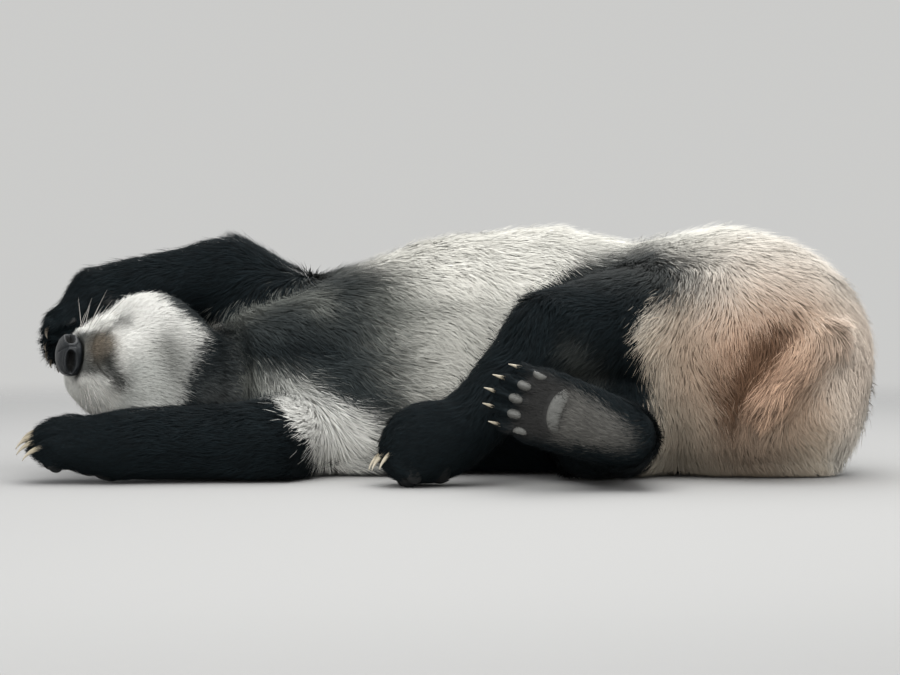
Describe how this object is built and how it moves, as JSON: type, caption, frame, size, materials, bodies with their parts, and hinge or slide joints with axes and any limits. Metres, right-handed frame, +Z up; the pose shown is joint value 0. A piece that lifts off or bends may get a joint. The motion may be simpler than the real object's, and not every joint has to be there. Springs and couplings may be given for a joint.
{
  "type": "giant panda",
  "caption": "Life-size still model of an adult giant panda asleep on its right side, one foreleg over its head and one stretched in front, hind legs drawn up, with claws, ears, nose and tail.",
  "frame": {"origin": "On the floor, under the middle of the animal's overall box.", "axes": "+Z up. -X towards the nose and +X towards the rump, the long way of the lying body. -Y is the belly side, towards which all four paws point, and +Y the back. The left side is uppermost."},
  "size_m": [1.338, 0.7452, 0.3975],
  "materials": {
    "coat_white": "dense cream-white fur, stained pinkish brown on the seat",
    "coat_black": "dense blue-black fur",
    "nose_skin": "bare black pebbled nose skin, slightly moist",
    "claw_horn": "pale worn horn",
    "eye": "wet dark brown eye under closed lids"
  },
  "bodies": {
    "root": {"head": "coat_white", "jaw": "coat_white", "neck": "coat_white", "belly": "coat_white", "rump": "coat_white", "tail": "coat_white", "chest": "coat_black", "ear_left": "coat_black", "ear_right": "coat_black", "eye_left": "eye", "eye_right": "eye", "nose": "nose_skin", "fore_left_upper": "coat_black", "fore_left_lower": "coat_black", "fore_left_paw": "coat_black", "fore_left_claw_1": "claw_horn", "fore_left_claw_2": "claw_horn", "fore_left_claw_3": "claw_horn", "fore_left_claw_4": "claw_horn", "fore_left_claw_5": "claw_horn", "fore_right_upper": "coat_black", "fore_right_lower": "coat_black", "fore_right_paw": "coat_black", "fore_right_claw_1": "claw_horn", "fore_right_claw_2": "claw_horn", "fore_right_claw_3": "claw_horn", "fore_right_claw_4": "claw_horn", "fore_right_claw_5": "claw_horn", "hind_left_upper": "coat_black", "hind_left_lower": "coat_black", "hind_left_paw": "coat_black", "hind_left_claw_1": "claw_horn", "hind_left_claw_2": "claw_horn", "hind_left_claw_3": "claw_horn", "hind_left_claw_4": "claw_horn", "hind_left_claw_5": "claw_horn", "hind_right_upper": "coat_black", "hind_right_lower": "coat_black", "hind_right_paw": "coat_black", "hind_right_claw_1": "claw_horn", "hind_right_claw_2": "claw_horn", "hind_right_claw_3": "claw_horn", "hind_right_claw_4": "claw_horn", "hind_right_claw_5": "claw_horn"}
  },
  "joints": []
}
